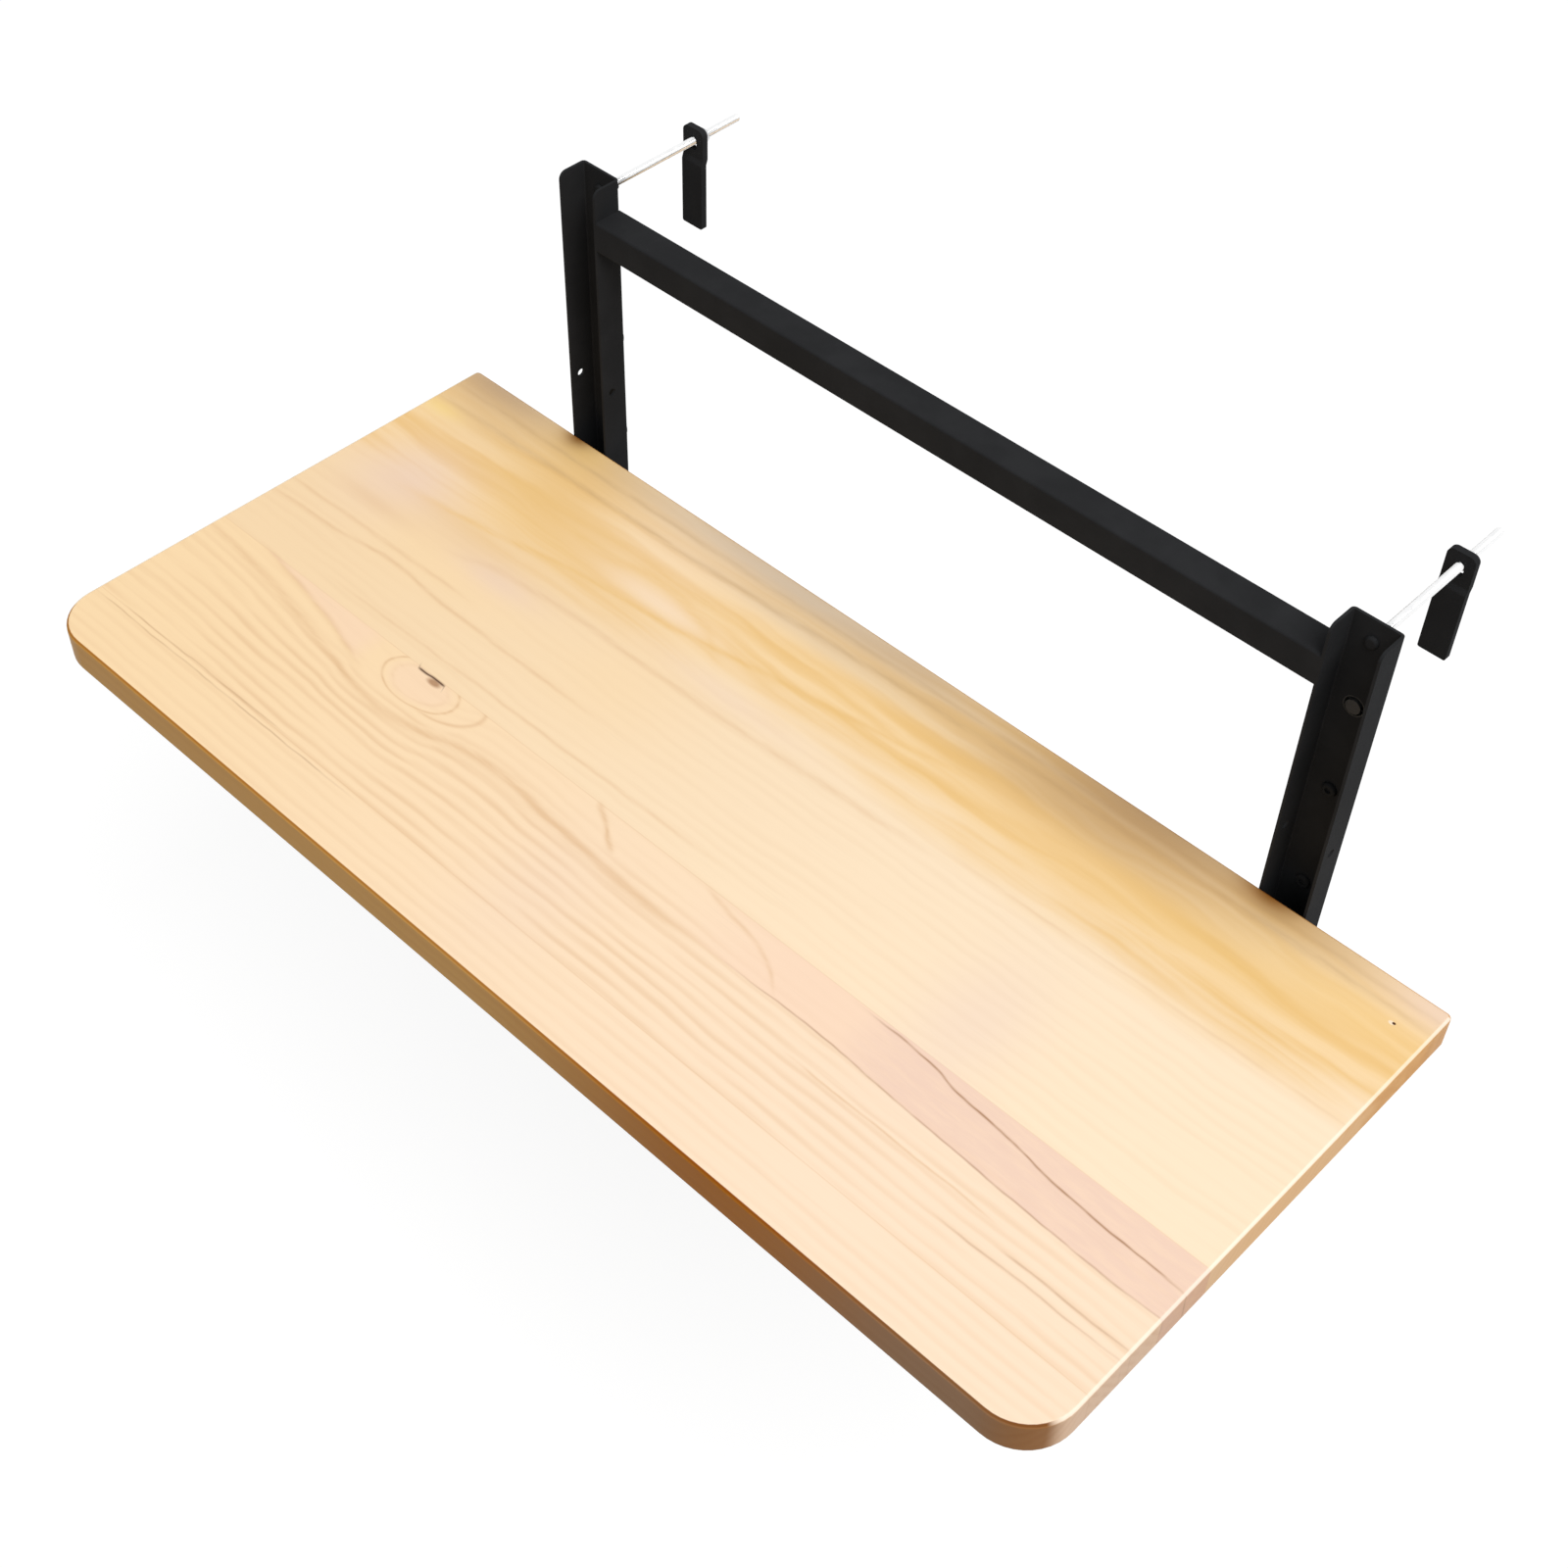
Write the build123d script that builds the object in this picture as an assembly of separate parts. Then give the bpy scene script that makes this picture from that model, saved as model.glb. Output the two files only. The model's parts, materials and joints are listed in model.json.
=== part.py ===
from build123d import *
import math
import os

# Folding table that hangs on a balcony railing, in millimetres.
# Two pressed channel posts, tied by crossbars, carry clamps that reach over the railing.
# The tabletop sits on two arms that turn down into the open posts, and a strut under each arm
# swings down with it.
# Origin: the middle of the upper crossbar's back face. +X runs along the railing,
# +Y points out over it and +Z points up.

# Tabletop
TOP_WIDTH = 900
TOP_DEPTH = 400
TOP_THICKNESS = 28
TOP_DROP = 192  # crossbar's middle down to the top face
TOP_FRONT_RADIUS = 36
TOP_BACK_RADIUS = 4
TOP_EDGE_RADIUS = 2.5
TOP_GAP = 1  # back edge to the posts' front edges

# Posts
POST_SPACING = 644
POST_WIDTH = 36
POST_DEPTH = 24
POST_SHEET = 2
POST_LENGTH = 463
POST_RISE = 36  # above the crossbar's middle
POST_BEND = 1  # inside radius of the pressed bends
POST_CORNER_RADIUS = 6  # rounded flange corners at both ends

# Crossbars
BAR_SIZE = 24
BAR_WALL = 1.5
BAR_CORNER_RADIUS = 1.8
LOWER_BAR_RISE = 21  # lower bar's middle above the posts' ends

# Fits
FIT = 0.05  # radial running fit of pins, bolts and screws
SEAT_GAP = 0.15  # between flat faces that turn on each other

# Hinge, and the second set of holes that sets the table higher
HINGE_INSET = 9  # behind the posts' front edges
HINGE_UNDER = 12  # below the tabletop's underside
HEIGHT_STEP = 93
BOLT_DIAMETER = 6
BOLT_HEAD_FLATS = 10
BOLT_HEAD_HEIGHT = 4
LOCK_NUT_HEIGHT = 6
BOLT_END = 1.5  # bolt end beyond its nut
SPACER_THICKNESS = 1.7
SPACER_DIAMETER = 12

# Arms
ARM_REACH = 345  # hinge to the front end
ARM_SHEET = 1.5
ARM_BEND = 1
ARM_SWING_CLEARANCE = 1  # rear end to the post's web
ARM_FRONT_RADIUS = 10
ARM_LIP = 7  # hinge down to the lower edge

# Struts
STRUT_RISE = 75  # strut's bolt above the posts' ends
STRUT_REACH = 165  # hinge out to the glide
STRUT_SHEET = 1.5
STRUT_SIDE_PLAY = 1.5
STRUT_LIP_STEP = 1  # strut's edge inside the arm's lower edge
STRUT_WEB_SETBACK = 14  # web's ends from the pins
STRUT_SPACER_DIAMETER = 8
NOTCH_CLEARANCE = 1
GLIDE_PROUD = 1  # beyond the strut's rounded end
GLIDE_GAP = 0.3
GLIDE_END_PLAY = 0.3
GLIDE_EDGE_RADIUS = 0.8
PIN_DIAMETER = 5
PIN_HEAD_DIAMETER = 8
PIN_HEAD_HEIGHT = 0.8

# Spring catches that hold the glides
CATCH_WIDTH = 14
CATCH_SHEET = 0.8
CATCH_NOSE_GAP = 4  # nose beyond the glide
CATCH_NOSE_DEPTH = 3
CATCH_LEAD = 5.5  # free end to the nose
CATCH_RAMP = 15  # nose to the flat leaf
CATCH_LENGTH = 64  # glide's middle to the far end

# Wood screws through the arms
SCREW_DIAMETER = 4
SCREW_LENGTH = 20  # in the wood
SCREW_HEAD_DIAMETER = 8
SCREW_HEAD_HEIGHT = 2.4
SCREW_INSET = 30  # first and last screw from the hinge and the front end
SCREW_STEP = 65  # first to second screw
CATCH_SCREW = 52  # beyond the glide's middle

# Clamp rods and plates
ROD_DIAMETER = 6
ROD_RISE = 20  # above the crossbar's middle
ROD_REACH = 135  # behind the posts' backs
ROD_END_RADIUS = 1
ROD_CAP_DIAMETER = 9
ROD_CAP_HEIGHT = 2.5
ROD_CAP_EDGE_RADIUS = 1.8
NUT_FLATS = 10
NUT_HEIGHT = 5
LONG_NUT_HEIGHT = 11
WASHER_DIAMETER = 12
WASHER_THICKNESS = 1.6
PLATE_SET = 89  # head's front face behind the posts' backs
PLATE_WIDTH = 20
PLATE_THICKNESS = 5
PLATE_HEAD = 10.5  # above the rod
PLATE_TONGUE = 70  # below the rod
PLATE_JOGGLE = 1.5
PLATE_JOGGLE_TOP = 13
PLATE_JOGGLE_HEIGHT = 4
PLATE_BEND = 3
PLATE_HEAD_RADIUS = 5
PLATE_TONGUE_RADIUS = 1.5
PLATE_SLOT_PLAY = 0.5
PLATE_SLOT_RUN = 4

# Rubber buffers that keep the posts off the railing
BUFFER_DIAMETER = 22
BUFFER_THICKNESS = 6
BUFFER_EDGE_RADIUS = 1.5
PUSH_HOLE_DIAMETER = 15
PUSH_MOAT_DIAMETER = 13.6
PUSH_MOAT_DEPTH = 5
PUSH_PEG_DIAMETER = 10.4
PUSH_PEG_PROUD = 1.2  # in front of the web
PUSH_DROP = 32  # below the crossbar's middle
BUFFER_SCREW_DROPS = (104, 190)
BUFFER_SCREW_DIAMETER = 6
BUFFER_SCREW_DEPTH = 4.5
BUTTON_DIAMETER = 10.5
BUTTON_HEIGHT = 2.6
BUTTON_EDGE_RADIUS = 1.9
SOCKET_FLATS = 4
SOCKET_DEPTH = 1.6

# Places that follow from the sizes
SIDES = {"left": -POST_SPACING / 2, "right": POST_SPACING / 2}
TOP_Z = -TOP_DROP
UNDERSIDE_Z = TOP_Z - TOP_THICKNESS
TOP_BACK_Y = -POST_DEPTH - TOP_GAP
POST_BOTTOM_Z = POST_RISE - POST_LENGTH
POST_INSIDE = POST_WIDTH - 2 * POST_SHEET
HINGE_Y = HINGE_INSET - POST_DEPTH
HINGE_Z = UNDERSIDE_Z - HINGE_UNDER
ARM_END = POST_DEPTH - POST_SHEET - HINGE_INSET - ARM_SWING_CLEARANCE
ARM_DEPTH = HINGE_UNDER + ARM_LIP
ARM_WIDTH = POST_INSIDE - 2 * (SPACER_THICKNESS + 2 * SEAT_GAP)
ARM_INSIDE = ARM_WIDTH - 2 * ARM_SHEET
STRUT_WIDTH = ARM_INSIDE - 2 * STRUT_SIDE_PLAY
STRUT_INSIDE = STRUT_WIDTH - 2 * STRUT_SHEET
STRUT_END = ARM_LIP - STRUT_LIP_STEP
GLIDE_RADIUS = STRUT_END + GLIDE_PROUD
CATCH_NOSE = GLIDE_RADIUS + CATCH_NOSE_GAP
CATCH_START = CATCH_NOSE - CATCH_LEAD
CATCH_HEEL = CATCH_NOSE + CATCH_RAMP
STRUT_Z = POST_BOTTOM_Z + STRUT_RISE
STRUT_DROP = HINGE_Z - STRUT_Z
GLIDE_Y = HINGE_Y - STRUT_REACH
GLIDE_Z = UNDERSIDE_Z - ARM_SHEET - GLIDE_GAP - GLIDE_RADIUS
STRUT_LENGTH = math.hypot(STRUT_REACH, GLIDE_Z - STRUT_Z)
STRUT_ANGLE = math.degrees(math.atan2(STRUT_REACH, GLIDE_Z - STRUT_Z))
BOLT_RADIUS = BOLT_DIAMETER / 2
BOLT_HOLE = BOLT_RADIUS + FIT
ROD_RADIUS = ROD_DIAMETER / 2
ROD_HOLE = ROD_RADIUS + FIT
LOWER_BAR_Z = POST_BOTTOM_Z + LOWER_BAR_RISE
PUSH_HEIGHTS = (-PUSH_DROP, LOWER_BAR_Z)
STRUT_BOLT_HEIGHTS = (STRUT_Z, STRUT_Z + HEIGHT_STEP)
HINGE_HEIGHTS = (HINGE_Z, HINGE_Z + HEIGHT_STEP)


def rod_x(x, y, z, radius, length):
    """A round bar along X, centred on a point."""
    return Pos(x, y, z) * Rot(0, 90, 0) * Cylinder(radius, length)


def rod_y(x, y, z, radius, length):
    """A round bar along Y, from a point towards +Y."""
    return Pos(x, y + length / 2, z) * Rot(90, 0, 0) * Cylinder(radius, length)


def hex_y(x, y, z, flats, length):
    """A hexagonal bar along Y, from a point towards +Y."""
    outline = RegularPolygon(flats / 2, 6, major_radius=False)
    return Pos(x, y + length, z) * Rot(90, 0, 0) * extrude(outline, length)


def hex_x(x, y, z, flats, length):
    """A hexagonal bar along X, from a point towards +X."""
    outline = RegularPolygon(flats / 2, 6, major_radius=False)
    return Pos(x, y, z) * Rot(0, 90, 0) * extrude(outline, length)


def channel(width, depth, sheet, bend, length):
    """A pressed channel along +Z, with its web's back at y = 0 and its mouth towards -Y."""
    outer = Rectangle(width, depth, align=(Align.CENTER, Align.MAX))
    outer = fillet(outer.vertices().group_by(Axis.Y)[-1], bend + sheet)
    inner = Rectangle(width - 2 * sheet, depth, align=(Align.CENTER, Align.MAX))
    inner = fillet(inner.vertices().group_by(Axis.Y)[-1], bend)
    return extrude(outer - Pos(0, -sheet) * inner, length)


def post(x):
    """One post, with its holes for the rod, bolts and buffers."""
    body = channel(POST_WIDTH, POST_DEPTH, POST_SHEET, POST_BEND, POST_LENGTH)
    edges = body.edges().filter_by(Axis.X).group_by(Axis.Y)[0]
    body = Pos(x, 0, POST_BOTTOM_Z) * fillet(edges, POST_CORNER_RADIUS)
    body -= rod_y(x, -POST_DEPTH, ROD_RISE, ROD_HOLE, POST_DEPTH)
    for z in PUSH_HEIGHTS:
        body -= rod_y(x, -POST_DEPTH, z, PUSH_HOLE_DIAMETER / 2, POST_DEPTH)
    for drop in BUFFER_SCREW_DROPS:
        body -= rod_y(x, -POST_DEPTH, -drop, BUFFER_SCREW_DIAMETER / 2 + FIT, POST_DEPTH)
    for z in HINGE_HEIGHTS + STRUT_BOLT_HEIGHTS:
        body -= rod_x(x, HINGE_Y, z, BOLT_HOLE, POST_WIDTH)
    return body


def crossbar(z):
    """A square tube between the posts, with its back level with theirs."""
    inside = BAR_SIZE - 2 * BAR_WALL
    outer = RectangleRounded(BAR_SIZE, BAR_SIZE, BAR_CORNER_RADIUS)
    inner = RectangleRounded(inside, inside, BAR_CORNER_RADIUS - BAR_WALL)
    tube = extrude(Plane.YZ * (outer - inner), (POST_SPACING - POST_WIDTH) / 2, both=True)
    return Pos(0, -BAR_SIZE / 2, z) * tube


def screw_places(x):
    """Where one arm's wood screws go: X, Y and the height of the face under each head."""
    arm_face = UNDERSIDE_Z - ARM_SHEET
    reaches = (SCREW_INSET, SCREW_INSET + SCREW_STEP, ARM_REACH - SCREW_INSET)
    places = [(x, HINGE_Y - reach, arm_face) for reach in reaches]
    return places + [(x, GLIDE_Y - CATCH_SCREW, arm_face - CATCH_SHEET)]


def tabletop():
    """The board, with rounded corners and edges and a pilot hole for each wood screw."""
    outline = Rectangle(TOP_WIDTH, TOP_DEPTH, align=(Align.CENTER, Align.MAX))
    outline = fillet(outline.vertices().group_by(Axis.Y)[0], TOP_FRONT_RADIUS)
    outline = fillet(outline.vertices().group_by(Axis.Y)[-1], TOP_BACK_RADIUS)
    board = extrude(outline, TOP_THICKNESS)
    edges = board.edges().group_by(Axis.Z)
    board = Pos(0, TOP_BACK_Y, UNDERSIDE_Z) * fillet(edges[0] + edges[-1], TOP_EDGE_RADIUS)
    for side_x in SIDES.values():
        for x, y, face in screw_places(side_x):
            depth = SCREW_LENGTH + FIT
            hole = Cylinder(SCREW_DIAMETER / 2 + FIT, depth, align=(Align.CENTER, Align.CENTER, Align.MIN))
            board -= Pos(x, y, UNDERSIDE_Z) * hole
    return board


def arm(x):
    """One arm: a channel with its mouth down, rounded to turn inside the post."""
    length = ARM_END + ARM_REACH
    body = channel(ARM_WIDTH, ARM_DEPTH, ARM_SHEET, ARM_BEND, length)
    edges = body.edges().filter_by(Axis.X).group_by(Axis.Y)[0].group_by(Axis.Z)
    body = fillet(edges[0], ARM_LIP)
    edges = body.edges().filter_by(Axis.X).group_by(Axis.Y)[0].group_by(Axis.Z)
    body = fillet(edges[-1], ARM_FRONT_RADIUS)
    body = Pos(x, HINGE_Y + ARM_END, UNDERSIDE_Z) * Rot(90, 0, 0) * body
    body -= rod_x(x, HINGE_Y, HINGE_Z, BOLT_HOLE, ARM_WIDTH)
    notch = STRUT_SPACER_DIAMETER / 2 + NOTCH_CLEARANCE
    body -= rod_x(x, HINGE_Y - STRUT_DROP, HINGE_Z, notch, ARM_WIDTH)
    mouth = Box(ARM_WIDTH, 2 * notch, ARM_LIP, align=(Align.CENTER, Align.CENTER, Align.MAX))
    body -= Pos(x, HINGE_Y - STRUT_DROP, HINGE_Z) * mouth
    for hole_x, y, face in screw_places(x):
        body -= Pos(hole_x, y, UNDERSIDE_Z) * Cylinder(SCREW_DIAMETER / 2 + FIT, 2 * ARM_DEPTH)
    return body


def wood_screw(x, y, face):
    """A pan-head wood screw, driven up from a face under the board."""
    up = (Align.CENTER, Align.CENTER, Align.MIN)
    down = (Align.CENTER, Align.CENTER, Align.MAX)
    head = Cylinder(SCREW_HEAD_DIAMETER / 2, SCREW_HEAD_HEIGHT, align=down)
    head = fillet(head.edges().group_by(Axis.Z)[0], SCREW_HEAD_HEIGHT / 2)
    shank = Cylinder(SCREW_DIAMETER / 2, UNDERSIDE_Z - face + SCREW_LENGTH, align=up)
    return Pos(x, y, face) * (head + shank)


def catch(x):
    """A leaf under the arm whose bent nose stands in front of the glide."""
    face = UNDERSIDE_Z - ARM_SHEET
    lift = CATCH_NOSE_DEPTH - CATCH_SHEET
    rise = lift / 2
    upper = [
        (CATCH_START, face - rise),
        (CATCH_NOSE, face - lift),
        (CATCH_HEEL, face),
        (CATCH_LENGTH, face),
    ]
    lower = [(reach, z - CATCH_SHEET) for reach, z in reversed(upper)]
    points = [(GLIDE_Y - reach, z) for reach, z in upper + lower]
    leaf = make_face(Polyline(points, close=True))
    leaf = extrude(Plane.YZ * leaf, CATCH_WIDTH / 2, both=True)
    hole = Cylinder(SCREW_DIAMETER / 2 + FIT, 2 * ARM_DEPTH)
    return Pos(x, 0, 0) * leaf - Pos(x, GLIDE_Y - CATCH_SCREW, face) * hole


def strut_place(x):
    """The strut's own frame: Z runs from its bolt to its glide."""
    return Pos(x, HINGE_Y, STRUT_Z) * Rot(STRUT_ANGLE, 0, 0)


def strut(x):
    """One strut: two round-ended cheeks joined by a web on its lower side."""
    outline = Rot(0, 0, 90) * SlotCenterToCenter(STRUT_LENGTH, 2 * STRUT_END)
    outline -= Pos(0, STRUT_LENGTH / 2) * Circle(PIN_DIAMETER / 2 + FIT)
    outline -= Pos(0, -STRUT_LENGTH / 2) * Circle(BOLT_HOLE)
    cheek = Pos(0, 0, STRUT_LENGTH / 2) * extrude(Plane.YZ * outline, STRUT_SHEET)
    web = Box(STRUT_WIDTH, STRUT_SHEET, STRUT_LENGTH - 2 * STRUT_WEB_SETBACK,
              align=(Align.CENTER, Align.MIN, Align.CENTER))
    body = Pos(0, -STRUT_END, STRUT_LENGTH / 2) * web
    body += Pos(STRUT_INSIDE / 2, 0, 0) * cheek
    body += Pos(-STRUT_WIDTH / 2, 0, 0) * cheek
    return strut_place(x) * body


def strut_pin(x):
    """The headed pin across the strut's upper end."""
    pin = rod_x(0, 0, 0, PIN_DIAMETER / 2, STRUT_WIDTH)
    for end in (-1, 1):
        middle = end * (STRUT_WIDTH + PIN_HEAD_HEIGHT) / 2
        pin += rod_x(middle, 0, 0, PIN_HEAD_DIAMETER / 2, PIN_HEAD_HEIGHT)
    return strut_place(x) * Pos(0, 0, STRUT_LENGTH) * pin


def strut_glide(x):
    """The plastic sleeve on the pin that bears on the arm."""
    sleeve = rod_x(0, 0, 0, GLIDE_RADIUS, STRUT_INSIDE - 2 * GLIDE_END_PLAY)
    sleeve = fillet(sleeve.edges().filter_by(GeomType.CIRCLE), GLIDE_EDGE_RADIUS)
    sleeve -= rod_x(0, 0, 0, PIN_DIAMETER / 2 + FIT, STRUT_INSIDE)
    return strut_place(x) * Pos(0, 0, STRUT_LENGTH) * sleeve


def cross_bolt(x, z):
    """A bolt through both flanges of a post, with its head on the outer side."""
    out = math.copysign(1, x)
    shank_length = POST_WIDTH + LOCK_NUT_HEIGHT + BOLT_END
    middle = x - out * (shank_length - POST_WIDTH) / 2
    start = x + out * (POST_WIDTH + BOLT_HEAD_HEIGHT) / 2 - BOLT_HEAD_HEIGHT / 2
    head = hex_x(start, HINGE_Y, z, BOLT_HEAD_FLATS, BOLT_HEAD_HEIGHT)
    return head + rod_x(middle, HINGE_Y, z, BOLT_RADIUS, shank_length)


def cross_nut(x, z):
    """The lock nut of a cross bolt, on the post's inner side."""
    out = math.copysign(1, x)
    start = x - out * (POST_WIDTH + LOCK_NUT_HEIGHT) / 2 - LOCK_NUT_HEIGHT / 2
    nut = hex_x(start, HINGE_Y, z, BOLT_HEAD_FLATS, LOCK_NUT_HEIGHT)
    return nut - rod_x(x, HINGE_Y, z, BOLT_HOLE, 2 * POST_WIDTH)


def cross_spacers(x, z, inner_width, diameter):
    """The two rings on a cross bolt between a post's flanges and what turns inside them."""
    gap = (POST_INSIDE - inner_width) / 2
    rings = []
    for end in (-1, 1):
        middle = x + end * (inner_width + gap) / 2
        ring = rod_x(middle, HINGE_Y, z, diameter / 2, gap - 2 * SEAT_GAP)
        rings.append(ring - rod_x(middle, HINGE_Y, z, BOLT_HOLE, gap))
    return rings


def clamp_rod(x):
    """A rod whose front end is level with the web's inner face."""
    rod = rod_y(x, -POST_SHEET, ROD_RISE, ROD_RADIUS, POST_SHEET + ROD_REACH)
    return fillet(rod.edges().filter_by(GeomType.CIRCLE).group_by(Axis.Y)[-1], ROD_END_RADIUS)


def rod_cap(x):
    """The round end of a rod, in front of the web."""
    cap = rod_y(x, -POST_SHEET - ROD_CAP_HEIGHT, ROD_RISE, ROD_CAP_DIAMETER / 2, ROD_CAP_HEIGHT)
    return fillet(cap.edges().filter_by(GeomType.CIRCLE).group_by(Axis.Y)[0], ROD_CAP_EDGE_RADIUS)


def rod_nut(x, y, height):
    """A hexagonal nut on a rod."""
    nut = hex_y(x, y, ROD_RISE, NUT_FLATS, height)
    return nut - rod_y(x, y, ROD_RISE, ROD_HOLE, height)


def clamp_washer(x):
    """The washer behind a clamp plate."""
    y = PLATE_SET + PLATE_THICKNESS + SEAT_GAP
    ring = rod_y(x, y, ROD_RISE, WASHER_DIAMETER / 2, WASHER_THICKNESS)
    return ring - rod_y(x, y, ROD_RISE, ROD_HOLE, WASHER_THICKNESS)


def clamp_nut(x):
    """The nut that draws a clamp plate towards the posts."""
    y = PLATE_SET + PLATE_THICKNESS + WASHER_THICKNESS + 2 * SEAT_GAP
    return rod_nut(x, y, NUT_HEIGHT)


def clamp_plate(x):
    """A flat bar with a slotted head, joggled so that its tongue stands nearer to the posts."""
    front = [
        (0, PLATE_HEAD),
        (0, -PLATE_JOGGLE_TOP),
        (-PLATE_JOGGLE, -PLATE_JOGGLE_TOP - PLATE_JOGGLE_HEIGHT),
        (-PLATE_JOGGLE, -PLATE_TONGUE),
    ]
    back = [(y + PLATE_THICKNESS, z) for y, z in reversed(front)]
    side = make_face(Polyline(front + back, close=True))
    middle = side.vertices().filter_by(lambda v: -PLATE_TONGUE < v.Y < PLATE_HEAD)
    plate = extrude(Plane.YZ * fillet(middle, PLATE_BEND), PLATE_WIDTH / 2, both=True)
    plate = fillet(plate.edges().filter_by(Axis.Y).group_by(Axis.Z)[-1], PLATE_HEAD_RADIUS)
    plate = fillet(plate.edges().filter_by(Axis.Y).group_by(Axis.Z)[0], PLATE_TONGUE_RADIUS)
    radius = ROD_RADIUS + PLATE_SLOT_PLAY
    for z in (0, -PLATE_SLOT_RUN):
        plate -= rod_y(0, 0, z, radius, PLATE_THICKNESS)
    run = Box(2 * radius, PLATE_THICKNESS, PLATE_SLOT_RUN, align=(Align.CENTER, Align.MIN, Align.MAX))
    return Pos(x, PLATE_SET, ROD_RISE) * (plate - run)


def buffer_pad(x, z):
    """The round rubber pad behind a post."""
    pad = rod_y(x, 0, z, BUFFER_DIAMETER / 2, BUFFER_THICKNESS)
    return fillet(pad.edges().filter_by(GeomType.CIRCLE).group_by(Axis.Y)[-1], BUFFER_EDGE_RADIUS)


def push_buffer(x, z):
    """A rubber buffer pressed into the web, with a peg in its hollow stem."""
    stem = rod_y(x, -POST_SHEET, z, PUSH_HOLE_DIAMETER / 2 - FIT, POST_SHEET)
    moat = rod_y(x, -POST_SHEET, z, PUSH_MOAT_DIAMETER / 2, PUSH_MOAT_DEPTH)
    peg = rod_y(x, -POST_SHEET - PUSH_PEG_PROUD, z, PUSH_PEG_DIAMETER / 2, PUSH_PEG_PROUD + PUSH_MOAT_DEPTH)
    return buffer_pad(x, z) + stem - moat + peg


def screwed_buffer(x, z):
    """A rubber buffer held by a screw from the front."""
    return buffer_pad(x, z) - rod_y(x, 0, z, BUFFER_SCREW_DIAMETER / 2 + FIT, BUFFER_SCREW_DEPTH + FIT)


def button_screw(x, z):
    """A button-head screw through the web into a rubber buffer."""
    head = rod_y(x, -POST_SHEET - BUTTON_HEIGHT, z, BUTTON_DIAMETER / 2, BUTTON_HEIGHT)
    head = fillet(head.edges().filter_by(GeomType.CIRCLE).group_by(Axis.Y)[0], BUTTON_EDGE_RADIUS)
    head -= hex_y(x, -POST_SHEET - BUTTON_HEIGHT, z, SOCKET_FLATS, SOCKET_DEPTH)
    return head + rod_y(x, -POST_SHEET, z, BUFFER_SCREW_DIAMETER / 2, POST_SHEET + BUFFER_SCREW_DEPTH)


def each_side(make, *heights):
    """The same piece on both sides, at each of some heights."""
    return [make(x, z) for x in SIDES.values() for z in heights]


def spacer_set(z, inner_width, diameter):
    """The spacer rings of one bolt on each side."""
    return [ring for x in SIDES.values() for ring in cross_spacers(x, z, inner_width, diameter)]


def main():
    nodes = {
        "tabletop": tabletop(),
        "upper_crossbar": crossbar(0),
        "lower_crossbar": crossbar(LOWER_BAR_Z),
        "rod_caps": [rod_cap(x) for x in SIDES.values()],
        "rod_nuts": [rod_nut(x, 0, LONG_NUT_HEIGHT) for x in SIDES.values()],
        "push_in_buffers": each_side(push_buffer, *PUSH_HEIGHTS),
        "screwed_buffers": each_side(screwed_buffer, *(-drop for drop in BUFFER_SCREW_DROPS)),
        "buffer_screws": each_side(button_screw, *(-drop for drop in BUFFER_SCREW_DROPS)),
        "hinge_bolts": each_side(cross_bolt, HINGE_Z),
        "hinge_nuts": each_side(cross_nut, HINGE_Z),
        "hinge_spacers": spacer_set(HINGE_Z, ARM_WIDTH, SPACER_DIAMETER),
        "strut_bolts": each_side(cross_bolt, STRUT_Z),
        "strut_nuts": each_side(cross_nut, STRUT_Z),
        "strut_spacers": spacer_set(STRUT_Z, STRUT_WIDTH, STRUT_SPACER_DIAMETER),
        "arm_screws": [wood_screw(*place) for x in SIDES.values() for place in screw_places(x)],
        "strut_catches": [catch(x) for x in SIDES.values()],
    }
    makers = {
        "post": post,
        "arm": arm,
        "strut": strut,
        "strut_pin": strut_pin,
        "strut_glide": strut_glide,
        "clamp_rod": clamp_rod,
        "clamp_plate": clamp_plate,
        "clamp_washer": clamp_washer,
        "clamp_nut": clamp_nut,
    }
    for side, x in SIDES.items():
        for name, make in makers.items():
            nodes[f"{side}_{name}"] = make(x)
    os.makedirs("parts", exist_ok=True)
    for name, shape in nodes.items():
        solid = Compound(children=shape) if isinstance(shape, list) else shape
        export_step(solid, f"parts/{name}.step")
    print("strut length", round(STRUT_LENGTH, 3), "angle at rest", round(STRUT_ANGLE, 3))
    print("strut turns", round(180 - STRUT_ANGLE, 3), "for a quarter turn of the table")


main()
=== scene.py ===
import json
import math
from dataclasses import dataclass

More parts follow.
